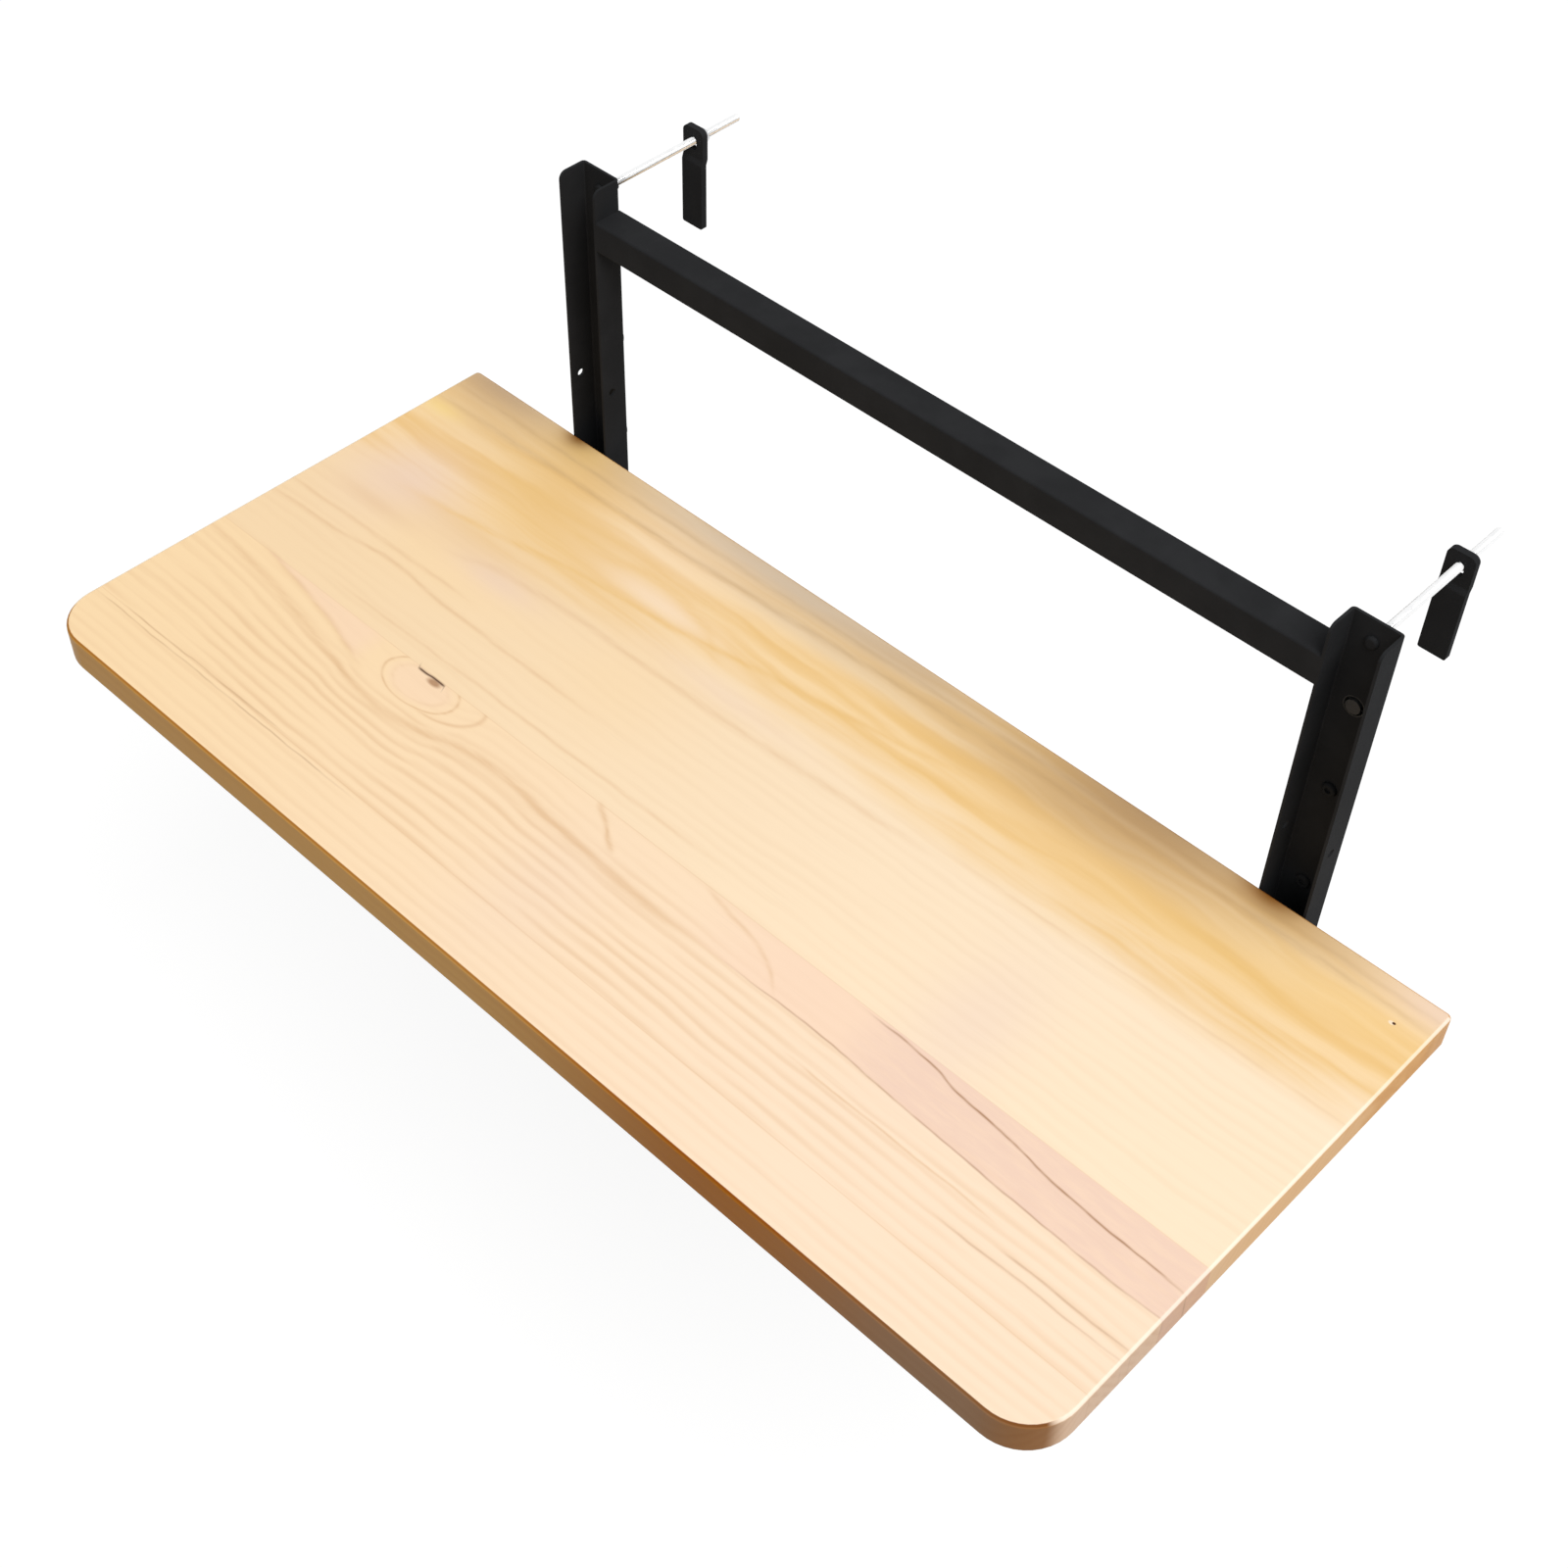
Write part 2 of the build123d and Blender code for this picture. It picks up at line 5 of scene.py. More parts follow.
import bmesh
import bpy
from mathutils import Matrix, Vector


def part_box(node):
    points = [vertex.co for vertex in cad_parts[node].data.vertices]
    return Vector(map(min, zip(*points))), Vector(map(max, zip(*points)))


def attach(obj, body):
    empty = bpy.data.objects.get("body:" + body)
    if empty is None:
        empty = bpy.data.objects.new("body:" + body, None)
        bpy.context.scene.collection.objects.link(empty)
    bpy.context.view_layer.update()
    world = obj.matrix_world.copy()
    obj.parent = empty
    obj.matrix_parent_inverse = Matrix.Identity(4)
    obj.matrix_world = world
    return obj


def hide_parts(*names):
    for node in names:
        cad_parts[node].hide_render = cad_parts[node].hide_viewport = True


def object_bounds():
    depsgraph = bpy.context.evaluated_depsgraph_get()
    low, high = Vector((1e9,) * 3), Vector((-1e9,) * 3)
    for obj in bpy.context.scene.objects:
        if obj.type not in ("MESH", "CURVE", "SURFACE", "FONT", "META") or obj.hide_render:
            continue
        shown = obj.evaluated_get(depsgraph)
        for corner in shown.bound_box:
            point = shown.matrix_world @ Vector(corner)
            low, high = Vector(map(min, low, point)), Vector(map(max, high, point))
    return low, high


# Folding balcony table: finishes, small hardware, stage, light and camera.
# Lengths are in metres.
# The patterns in the materials, the small hardware and names that end in _MM are in millimetres.

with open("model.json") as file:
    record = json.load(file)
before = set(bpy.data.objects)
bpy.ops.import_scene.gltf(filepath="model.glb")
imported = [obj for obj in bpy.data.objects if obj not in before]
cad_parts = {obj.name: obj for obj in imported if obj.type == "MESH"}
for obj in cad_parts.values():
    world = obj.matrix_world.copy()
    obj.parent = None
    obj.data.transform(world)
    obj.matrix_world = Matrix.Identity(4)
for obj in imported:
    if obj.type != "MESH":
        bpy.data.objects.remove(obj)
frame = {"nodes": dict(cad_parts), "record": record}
cad_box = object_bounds()

MM = 0.001

# Camera at the photograph's view
CAMERA_PLACE = (0.7216, -0.9308, 0.9212)
CAMERA_ANGLES = (42.650, -1.188, 43.819)  # degrees
CAMERA_LENS_MM = 52.635
CAMERA_SENSOR_MM = 36

# Stage and light
FLOOR_DROP = 0.235  # below the posts' ends, so that the folded board clears it
FLOOR_SIZE = 40
FLOOR_COLOUR = (0.18, 0.18, 0.18)
FLOOR_GLOW = 0.86
SKY_LIGHT = 0.50
KEY_DIRECTION = (0.53, -0.16, 0.83)
KEY_DISTANCE = 12
KEY_SIZE = 8.6
KEY_POWER = 1110

# Small hardware, in millimetres
SIDES = 48  # round a nut, bolt or screw
ROD_SIDES = 24
SHARP_ANGLE = 32  # degrees
PITCH = 1.0
THREAD_DEPTH = 0.5
THREAD_FLANK = 1.2  # over 1, so that the bottom of the thread is flat
ROWS_PER_TURN = 6
BEVEL = 0.3
CROWN = 0.97  # the round end face of a hexagon, as a share of its flats
CORNER_SLOPE = math.radians(30)
LOCK_FOOT = 0.62  # the hexagonal part of a lock nut, as a share of its height
COLLAR = 0.47  # the radius of a lock nut's collar, as a share of its flats
INSERT_PLAY = 0.05
BORE_PLAY = 0.05
BOLT_RADIUS = 3
BOLT_THREAD = 9
ROD_POINT = 0.8
RECESS_HALF = 0.45
RECESS_EDGE = 0.3
RECESS_REACH = 2.5
RECESS_DEPTH = 1.1
CROWN_ROWS = 16
DOME_DROP = 0.5  # how far a screw's dome falls at its rim, as a share of the head
DOME_POWER = 4
SCREW_HEAD = 2.4
SCREW_RADIUS = 2
SCREW_SHANK = 0.8  # the straight part of a screw, as a share of its length
SCREW_TIP = 0.2  # as a share of the screw's radius
SIDE_GAP = 100  # parts the left solid of a node from the right one
SCREW_GAP = 10

# Colours as they look on the lit top, in 0 to 255 steps: tones of the wood, and tones for painted shade and
# reflection
WOOD = {
    "cream": (254, 231, 200),
    "wheat": (248, 218, 176),
    "straw": (253, 227, 199),
    "corn": (251, 220, 175),
    "gold": (251, 219, 170),
    "honey": (238, 195, 126),
    "amber": (245, 203, 126),
    "tan": (184, 148, 106),
    "grey": (210, 191, 170),
    "painted_back_shade": (186, 157, 130),
    "line": (226, 186, 142),
    "brown": (166, 120, 84),
    "painted_post_shade": (136, 84, 26),
    "dark": (84, 54, 38),
    "lilac": (240, 213, 200),
    "pink": (250, 216, 190),
    "mauve": (235, 202, 186),
    "yellow": (255, 226, 142),
}
COLOUR_STEPS = 255
SRGB_OFFSET = 0.055
SRGB_POWER = 2.4
TOP_LIGHT = 1.04  # how bright a white top face is under this light


@dataclass
class Stave:
    """One of the boards glued side by side in the top, from the one before to its front joint."""
    front: float
    ring: float
    slant: float  # how fast its rings lean back with depth
    drift: float  # slow waves of its rings
    ripple: float  # short waves of its rings
    light: str
    warm: str  # its tone towards the left end
    dark: str
    contrast: float


@dataclass
class Spot:
    """A soft oval patch of colour on the top, at a place along and across it; most are tones of the wood,
    some are painted shade and reflection.
    """
    colour: str
    strength: float
    middle: tuple
    reach: tuple


@dataclass
class Mark:
    """A line in the wood through points along and across the top."""
    colour: str
    strength: float
    width: float
    path: tuple


# The glued boards: places are along the top from its middle, and across it from the panel's back edge
STAVES = (
    Stave(118, 13, 0.7, 40, 16, "gold", "gold", "honey", 0.90),
    Stave(250, 9, -0.5, 14, 12, "cream", "wheat", "line", 0.11),
    Stave(357.5, 9, 0.8, 7, 8, "straw", "corn", "line", 0.46),
    Stave(410, 8, -0.8, 6, 5, "straw", "corn", "line", 0.20),
)
PANEL_TRIM = 3  # planed off the panel's back edge
STREAKED = 0  # the stave whose rings run out into soft streaks
BENT = 2  # the stave whose rings bend round the knot
WARM_FADE = (-470, 330)  # from the warm left end to the light right end
DRIFT_LUMPS = (320, 80, 70)
RIPPLE_LUMPS = (85, 34, 30)
PATCH_LUMPS = (170, 12, 14)  # patches where the ring lines show
PATCH_RISE = (0.30, 0.62)
LATE_START = 0.15  # where a ring's late wood starts and is darkest, as shares of the ring
LATE_PEAK = 0.70
STREAK_LENGTH = 260
STREAK_RISE = (0.30, 0.74)
GOLD_EDGE = ((-450, 128), (-340, 126), (-200, 120), (-100, 106), (0, 100), (100, 104), (200, 110), (450, 96))
GOLD_SOFT = 27
GOLD_RIPPLE = 30
GOLD_FRAY = 14
RING_BEND = (
    (-450, -14), (-400, -11), (-330, -4), (-270, 4), (-210, 11), (-175, 7),
    (-150, -2), (-110, -6), (-60, -2), (0, 1), (100, 2), (450, 3),
)
BEND_START = 286
BEND_FADE = 34
BENT_FAINT = 0.25  # what shows of the bent rings beside the knot's joint
BENT_RISE = (262, 292)
RIGHT_FADE = (0, 320)
RIGHT_LOSS = 0.35
JOINT_SOFT = 0.2
JOINT_WIDTH = 0.4
JOINT_STRENGTH = 0.35

# Pink heartwood in front of the knot's joint
KNOT_JOINT = STAVES[1].front
HEART_EDGE = ((125, 286), (187, 285.5), (225, 287), (275, 290), (350, 293), (400, 294.5), (450, 294))
HEART_CHECK = ((207, 252), (245, 254), (275, 259.5), (312, 262), (350, 267.5), (400, 270.5), (450, 272))
HEART_SOFT = 0.6
PINK_RISE = (40, 150)
PINK_STRENGTH = 0.62
MAUVE_RISE = (188, 224)
MAUVE_EVEN = 0.22
MAUVE_FLECKS = 0.30
DART_EDGE = ((-397, 250), (-350, 257), (-300, 267), (-262, 278))
DART_SOFT = 1.5
DART_ENDS = (-397, -268)
DART_FADE = 12
DART_STRENGTH = 0.5

# The knot and a pin hole, as ovals with a middle and a reach
SOFT_RIM = 0.6
KNOT = ((-212, 262), (34, 19))
KNOT_FILL = 0.35
KNOT_RIM = 0.04
KNOT_RIM_EVEN = 0.30
KNOT_RIM_FLECKS = 0.4
KNOT_RING = 0.72
KNOT_RING_WIDTH = 0.06
KNOT_RING_STRENGTH = 0.22
KNOT_SHELL = ((-203, 257), (47, 23))
SHELL_WIDTH = 0.045
SHELL_RISE = (-205, -185)
SHELL_STRENGTH = 0.5
KNOT_CORE = ((-207, 254), (9, 4))
CORE_RIM = 0.3
CORE_STRENGTH = 0.8
PIN_HOLE = ((427, 34), (1.5, 1.2))
PIN_LIP = ((425.5, 34.5), (2.6, 1.8))

# Patches and long lines of colour: tones of the wood, and painted shade and reflection where marked
SPOTS = (
    Spot("honey", 0.75, (-292, 36), (50, 62)),
    Spot("honey", 0.40, (-225, 96), (70, 26)),
    # painted shade along the back edge of the top, at its left end (this spot and the next)
    Spot("painted_back_shade", 0.75, (-420, 6), (70, 26)),
    Spot("grey", 0.30, (-405, 40), (50, 18)),
    Spot("yellow", 0.50, (-434, 54), (22, 8)),
    # painted reflection: a soft lilac blur of the surroundings in the varnish
    Spot("lilac", 0.62, (-385, 128), (46, 42)),
    Spot("corn", 0.70, (-300, 166), (90, 30)),
    Spot("line", 0.35, (-385, 162), (40, 7)),
    # painted reflection: a soft lilac blur of the surroundings in the varnish
    Spot("lilac", 0.45, (-255, 155), (40, 12)),
    Spot("straw", 0.70, (-155, 89), (55, 10)),
    Spot("lilac", 0.25, (-60, 122), (70, 9)),
    # painted shade along the back edge of the top
    Spot("grey", 0.80, (-110, 10), (170, 18)),
    Spot("grey", 0.35, (-60, 38), (130, 10)),
    Spot("straw", 0.35, (-185, 48), (75, 40)),
    # painted shade along the back edge of the top
    Spot("painted_back_shade", 0.30, (20, 8), (60, 16)),
    # painted shade and reflection of the right post and its crossbar on the top (this spot and the next)
    Spot("tan", 0.90, (215, 6), (110, 27)),
    Spot("tan", 0.50, (195, 40), (110, 18)),
    Spot("honey", 0.40, (215, 68), (110, 22)),
    # painted shade along the back edge of the top, near the right post (this spot and the next)
    Spot("tan", 0.45, (345, 8), (70, 16)),
    Spot("lilac", 0.60, (448, 8), (42, 16)),
    Spot("amber", 0.25, (300, 70), (70, 20)),
    Spot("amber", 0.38, (400, 44), (70, 20)),
    Spot("lilac", 0.35, (245, 215), (36, 60)),
    Spot("corn", 0.45, (-120, 165), (60, 50)),
    Spot("lilac", 0.18, (-20, 330), (40, 60)),
    # painted shadow and reflection of the posts where they stand at the top's back edge (this spot and the
    # next four)
    Spot("amber", 0.60, (-318, 12), (26, 16)),
    Spot("honey", 0.60, (322, 8), (26, 14)),
    Spot("tan", 0.35, (322, 4), (30, 14)),
    Spot("painted_post_shade", 0.95, (-332, 3), (13, 11)),
    Spot("painted_post_shade", 0.95, (314, 3), (21, 12)),
    Spot("honey", 0.35, (-400, 40), (70, 24)),
    Spot("line", 0.25, (-300, 140), (80, 18)),
)
MARKS = (
    Mark("tan", 0.32, 3.0, ((-450, 44), (-250, 41), (-100, 37), (0, 31), (150, 27), (450, 25))),
    Mark("tan", 0.25, 2.4, ((-450, 25), (-200, 23), (0, 19), (200, 16), (450, 14))),
    Mark("honey", 0.62, 3.0, (
        (-350, 131), (-285, 121), (-210, 108), (-150, 103), (-100, 95), (50, 72), (110, 62),
    )),
    Mark("honey", 0.45, 5.0, ((-330, 74), (-225, 81), (-170, 74), (-130, 80), (-100, 92))),
    Mark("honey", 0.34, 6.0, ((-430, 76), (-330, 70), (-250, 64), (-120, 66), (0, 56), (150, 50))),
    Mark("honey", 0.28, 5.0, ((-20, 96), (90, 84), (160, 72), (250, 60))),
    Mark("corn", 0.60, 6.0, ((60, 112), (160, 104), (260, 88), (330, 82))),
    Mark("line", 0.40, 3.0, ((-280, 152), (-200, 142), (-100, 140), (0, 137), (120, 131))),
    Mark("line", 0.28, 1.4, ((160, 122), (300, 119), (450, 117))),
    Mark("line", 0.50, 1.8, ((-450, 204), (-380, 201), (-345, 196), (-320, 194), (-280, 198), (-125, 200))),
    Mark("line", 0.40, 2.0, ((-450, 187), (-330, 184), (-260, 183))),
    Mark("line", 0.40, 1.6, ((-320, 236), (-100, 234), (30, 233))),
    Mark("line", 0.50, 3.0, ((-450, 262), (-400, 266), (-330, 276), (-280, 286), (-235, 295), (-205, 296))),
    Mark("line", 0.55, 4.5, (
        (-205, 296), (-175, 290), (-150, 283), (-110, 279), (-60, 283), (0, 287), (60, 289),
    )),
    Mark("line", 0.70, 2.4, ((-45, 251), (-38, 254), (-28, 260), (-20, 267), (-10, 272))),
    Mark("line", 0.45, 1.8, ((60, 252), (80, 256), (100, 260), (120, 266), (140, 279))),
    Mark("line", 0.45, 2.4, DART_EDGE),
    Mark("brown", 0.55, 0.7, HEART_EDGE),
    Mark("brown", 0.85, 0.8, HEART_CHECK),
    Mark("line", 0.60, 0.9, ((187, 309), (260, 310), (337, 310.5))),
    Mark("brown", 0.40, 0.8, ((362, 322), (447, 321.5))),
    Mark("brown", 0.35, 0.8, ((325, 331), (447, 329.5))),
    Mark("brown", 0.40, 0.7, ((-440, 362), (-180, 361))),
    Mark("brown", 0.35, 0.7, ((-412, 357), (-250, 356))),
)
CRACK = Mark("dark", 0.95, 1.0, ((-226, 251.4), (-219, 251.9), (-210, 251.2), (-199, 252.0)))
MARK_FADE = 0.12  # of a mark's length, at each end
MARK_EVEN = 0.40  # what shows of a mark between the flecks
MOTTLE_LUMPS = (34, 5, 5)
MOTTLE_RISE = (0.30, 0.62)
WAVE_LUMPS = (40, 30, 30)
WAVE_HEIGHT = 4

# Fibres and varnish
FIBRE_LUMPS = (60, 0.9, 0.9)
FIBRE_RISE = (0.5, 0.85)
FIBRE_SHADE = 0.05
FIBRE_HEIGHT = 0.12
FIBRE_BUMP = 0.25
PINE_ROUGH = 0.34
PINE_ROUGH_SPREAD = 0.12
PINE_SPECULAR = 0.03

# The board's edges: colours, and the stretches along, across or of the surface's slope where they change
FRONT_TINTS = (  # left to right; the edge's own deep honey, made darker with part of the shade on the front edge painted in
    (0.75, 0.53, 0.22), (0.50, 0.23, 0.035), (0.41, 0.29, 0.20), (0.36, 0.21, 0.10),
)
FRONT_TURNS = ((-20, 210), (220, 380), (400, 440))
FRONT_ARRIS_TINT = (0.60, 0.46, 0.30)
FRONT_ARRIS_RISE = (0.30, 0.80)
END_TINTS = ((0.91, 0.64, 0.32), (0.95, 0.70, 0.43), (0.89, 0.78, 0.71))  # back to front
END_TURNS = ((20, 130), (190, 330))
# the back edge's tint: the same wood without the painted shade of the front's tints
BACK_TINT = (0.86, 0.66, 0.44)
BACK_TURN = (-0.3, 0.3)
SHORT_SIDE = (0.70, 1.0)
LONG_EDGE_TOP = (0.85, 0.99)
END_EDGE_TOP = (0.02, 0.30)
# a painted highlight along the rounded top edge of the short sides: its colour, where it starts and ends on
# the slope, and how strong
END_ARRIS_HIGHLIGHT = (0.98, 0.92, 0.80)
END_ARRIS_FOOT = (0.22, 0.55)
END_ARRIS_TOP = (0.92, 0.995)
END_ARRIS_STRENGTH = 0.5
PAST_LEVEL = 1.001  # a little over 1, so that nothing is divided by zero

# Steel, zinc, rubber and nylon
STEEL_CLOUD = 40
STEEL_CLOUD_RISE = (0.35, 0.7)
STEEL_LIFT = 1.25  # how much lighter the clouds are
STEEL_PEEL_HEIGHT = 0.05
STEEL_PEEL_BUMP = 0.35
STEEL_ROUGH_SPREAD = 0.1
STEEL_SPECULAR = 0.01
ZINC_CLOUD = 6
ZINC_SCRATCH = (0.25, 7, 0.25)
ZINC_SCRATCH_HEIGHT = 0.03
ZINC_SCRATCH_BUMP = 0.3
ZINC_ROUGH = 0.24
ZINC_ROUGH_SPREAD = 0.2
MOULDED_CLOUD = 9
MOULDED_LIFT = 1.2
MOULDED_BUMP = 0.4
MOULDED_ROUGH_SPREAD = 0.15
CLOUD_RISE = (0.3, 0.75)

NOISE_MIDDLE = 0.5


class Num:
    """A number that varies over a surface: a shader socket with arithmetic."""

    def __init__(self, shade, socket):
        self.shade = shade
        self.socket = socket

    def __add__(self, other):
        return self.shade.math("ADD", self, other)

    def __radd__(self, other):
        return self.shade.math("ADD", other, self)

    def __sub__(self, other):
        return self.shade.math("SUBTRACT", self, other)

    def __rsub__(self, other):
        return self.shade.math("SUBTRACT", other, self)

    def __mul__(self, other):
        return self.shade.math("MULTIPLY", self, other)

    def __rmul__(self, other):
        return self.shade.math("MULTIPLY", other, self)

    def __truediv__(self, other):
        return self.shade.math("DIVIDE", self, other)

    def __pow__(self, other):
        return self.shade.math("POWER", self, other)

    def fraction(self):
        return self.shade.math("FRACT", self)

    def falling(self):
        """1 at zero, falling smoothly to 0 on both sides within a few units."""
        return self.shade.math("POWER", math.e, self * self * -1.0)

    def rise(self, low, high):
        """0 below low, 1 above high and smooth between them."""
        return self.shade.ramp(self, low, high)


class Shade:
    """One material's nodes, built by plain calls."""

    def __init__(self, name):
        self.material = bpy.data.materials.new(name)
        self.material.use_nodes = True
        self.tree = self.material.node_tree
        self.tree.nodes.clear()
        self.bsdf = self.node("ShaderNodeBsdfPrincipled")
        output = self.node("ShaderNodeOutputMaterial")
        self.tree.links.new(self.bsdf.outputs["BSDF"], output.inputs["Surface"])

    def node(self, kind, **settings):
        made = self.tree.nodes.new(kind)
        for key, value in settings.items():
            setattr(made, key, value)
        return made

    def put(self, socket, value):
        """Link a varying value to a socket, or set a constant on it."""
        if isinstance(value, Num):
            self.tree.links.new(value.socket, socket)
        elif hasattr(value, "__len__") and len(value) == 3 and len(socket.default_value) == 4:
            socket.default_value = (*value, 1)
        else:
            socket.default_value = value

    def math(self, operation, first, second=None):
        made = self.node("ShaderNodeMath", operation=operation)
        self.put(made.inputs[0], first)
        if second is not None:
            self.put(made.inputs[1], second)
        return Num(self, made.outputs[0])

    def ramp(self, value, low, high):
        made = self.node("ShaderNodeMapRange", interpolation_type="SMOOTHSTEP")
        self.put(made.inputs["Value"], value)
        self.put(made.inputs["From Min"], low)
        self.put(made.inputs["From Max"], high)
        return Num(self, made.outputs["Result"])

    def mix(self, share, first, second, blend="MIX"):
        """A colour between two colours."""
        made = self.node("ShaderNodeMix", data_type="RGBA", blend_type=blend)
        self.put(made.inputs["Factor"], share)
        self.put(made.inputs["A"], first)
        self.put(made.inputs["B"], second)
        return Num(self, made.outputs["Result"])

    def tint(self, first, second):
        """A colour times another."""
        return self.mix(1.0, first, second, "MULTIPLY")

    def grey(self, value):
        """A grey of a varying level."""
        joined = self.node("ShaderNodeCombineColor")
        for socket in joined.inputs:
            self.put(socket, value)
        return Num(self, joined.outputs[0])

    def place(self, origin=(0, 0, 0), direction=(1, 1, 1)):
        """Millimetres from an origin along X, Y and Z, in the piece's own frame."""
        coordinate = self.node("ShaderNodeTexCoord")
        moved = self.node("ShaderNodeVectorMath", operation="SUBTRACT")
        self.tree.links.new(coordinate.outputs["Object"], moved.inputs[0])
        moved.inputs[1].default_value = origin
        scaled = self.node("ShaderNodeVectorMath", operation="MULTIPLY")
        self.tree.links.new(moved.outputs[0], scaled.inputs[0])
        scaled.inputs[1].default_value = [sign / MM for sign in direction]
        parts = self.node("ShaderNodeSeparateXYZ")
        self.tree.links.new(scaled.outputs[0], parts.inputs[0])
        return [Num(self, socket) for socket in parts.outputs]

    def normal(self):
        """The surface's direction in the piece's own frame."""
        coordinate = self.node("ShaderNodeTexCoord")
        parts = self.node("ShaderNodeSeparateXYZ")
        self.tree.links.new(coordinate.outputs["Normal"], parts.inputs[0])
        return [Num(self, socket) for socket in parts.outputs]

    def noise(self, place, size, detail=2.0, rough=0.5, seed=0.0):
        """Noise around its middle whose lumps have a size along each direction."""
        joined = self.node("ShaderNodeCombineXYZ")
        for socket, value, length in zip(joined.inputs, place, size):
            self.put(socket, value / length)
        made = self.node("ShaderNodeTexNoise", noise_dimensions="4D")
        self.tree.links.new(joined.outputs[0], made.inputs["Vector"])
        made.inputs["Scale"].default_value = 1
        made.inputs["Detail"].default_value = detail
        made.inputs["Roughness"].default_value = rough
        made.inputs["W"].default_value = seed
        return Num(self, made.outputs["Fac"])

    def wave(self, place, size, seed=0.0):
        """Noise around 0."""
        return self.noise(place, size, seed=seed) - NOISE_MIDDLE

    def curve(self, value, points):
        """A smooth curve through points of (place, height), from the first place to the last."""
        low = points[0][0]
        high = points[-1][0]
        heights = [height for _, height in points]
        bottom = min(heights)
        top = max(heights)
        made = self.node("ShaderNodeFloatCurve")
        line = made.mapping.curves[0]
        while len(line.points) < len(points):
            line.points.new(0.5, 0.5)
        for point, (where, height) in zip(line.points, points):
            point.location = ((where - low) / (high - low), (height - bottom) / (top - bottom))
        made.mapping.update()
        self.put(made.inputs["Value"], (value - low) / (high - low))
        return Num(self, made.outputs["Value"]) * (top - bottom) + bottom

    def bump(self, height, distance, strength):
        """Raise the surface by a height from 0 to 1 over a distance in millimetres."""
        made = self.node("ShaderNodeBump")
        made.inputs["Strength"].default_value = strength
        made.inputs["Distance"].default_value = distance * MM
        self.put(made.inputs["Height"], height)
        self.tree.links.new(made.outputs["Normal"], self.bsdf.inputs["Normal"])

    def set(self, **values):
        """Set the surface's own inputs, such as Base_Color or Roughness."""
        for name, value in values.items():
            self.put(self.bsdf.inputs[name.replace("_", " ")], value)
        return self.material


def seen(name):
    """The base colour that shows as one of the listed colours on the lit top."""
    levels = [step / COLOUR_STEPS for step in WOOD[name]]
    straight = [((level + SRGB_OFFSET) / (1 + SRGB_OFFSET)) ** SRGB_POWER for level in levels]
    return [level / TOP_LIGHT for level in straight]


def lines(value, ring):
    """Ring lines: slowly darker late wood with a sharper outer edge."""
    turn = (value / ring).fraction()
    return turn.rise(LATE_START, LATE_PEAK) * (1 - turn.rise(LATE_PEAK, 1.0))


def between(value, low, high, soft):
    """1 between two values, with soft ends."""
    return (value - low).rise(-soft, soft) * (1 - (value - high).rise(-soft, soft))


def oval(along, across, middle, reach):
    """Distance from a middle, 1 on an oval round it."""
    x = (along - middle[0]) / reach[0]
    y = (across - middle[1]) / reach[1]
    return (x * x + y * y) ** 0.5


def inside(distance, rim):
    """1 within an oval, falling to 0 from a rim to the oval itself."""
    return 1 - distance.rise(rim, 1.0)


def ring_round(distance, where, width):
    """1 on an oval at a distance, falling off over a width."""
    return ((distance - where) / width).falling()


def bent_lines(shade, value, ring, along, across):
    """Ring lines that bend round the knot, faint beside its joint and towards the right end."""
    past_bend = shade.math("MAXIMUM", across - BEND_START, 0.0)
    bend = shade.curve(along, RING_BEND) * shade.math("POWER", math.e, past_bend / -BEND_FADE)
    by_joint = BENT_FAINT + across.rise(*BENT_RISE) * (1 - BENT_FAINT)
    return lines(value - bend, ring) * by_joint * (1 - along.rise(*RIGHT_FADE) * RIGHT_LOSS)


def glued_staves(shade, here):
    """The boards of the top with their ring lines and joints."""
    along, across, depth = here
    warm = 1 - along.rise(*WARM_FADE)
    drift = shade.wave(here, DRIFT_LUMPS)
    ripple = shade.wave(here, RIPPLE_LUMPS, seed=5.0)
    patch = shade.noise(here, PATCH_LUMPS, seed=9.0).rise(*PATCH_RISE)
    joints = 0
    for number, stave in enumerate(STAVES):
        value = across + drift * stave.drift + ripple * stave.ripple + depth * stave.slant
        if number == STREAKED:
            lumps = (STREAK_LENGTH, stave.ring, stave.ring)
            late = shade.noise((along, value, depth), lumps, seed=7.0).rise(*STREAK_RISE)
            fray = ripple * GOLD_RIPPLE + (late - NOISE_MIDDLE) * GOLD_FRAY
            gold_edge = shade.curve(along, GOLD_EDGE) + fray
        elif number == BENT:
            late = bent_lines(shade, value, stave.ring, along, across) * patch
        else:
            late = lines(value, stave.ring) * patch
        light = shade.mix(warm, seen(stave.light), seen(stave.warm))
        wood = shade.mix(late * stave.contrast, light, seen(stave.dark))
        if number == STREAKED:
            colour = wood
        elif number == STREAKED + 1:
            colour = shade.mix((across - gold_edge).rise(-GOLD_SOFT, GOLD_SOFT), colour, wood)
        else:
            past_joint = across - STAVES[number - 1].front
            colour = shade.mix(past_joint.rise(-JOINT_SOFT, JOINT_SOFT), colour, wood)
            joints = joints + (past_joint / JOINT_WIDTH).falling()
    return shade.mix(joints * JOINT_STRENGTH, colour, seen("line"))


def heartwood(shade, colour, along, across, mottle):
    """The pink band at the right of the third board, and the reddish dart at its left."""
    band = between(across, KNOT_JOINT, shade.curve(along, HEART_EDGE), HEART_SOFT)
    colour = shade.mix(band * along.rise(*PINK_RISE) * PINK_STRENGTH, colour, seen("pink"))
    flecks = MAUVE_EVEN + mottle * MAUVE_FLECKS
    colour = shade.mix(band * along.rise(*MAUVE_RISE) * flecks, colour, seen("mauve"))
    dart = between(across, KNOT_JOINT, shade.curve(along, DART_EDGE), DART_SOFT)
    dart = dart * between(along, *DART_ENDS, DART_FADE)
    return shade.mix(dart * DART_STRENGTH, colour, seen("pink"))


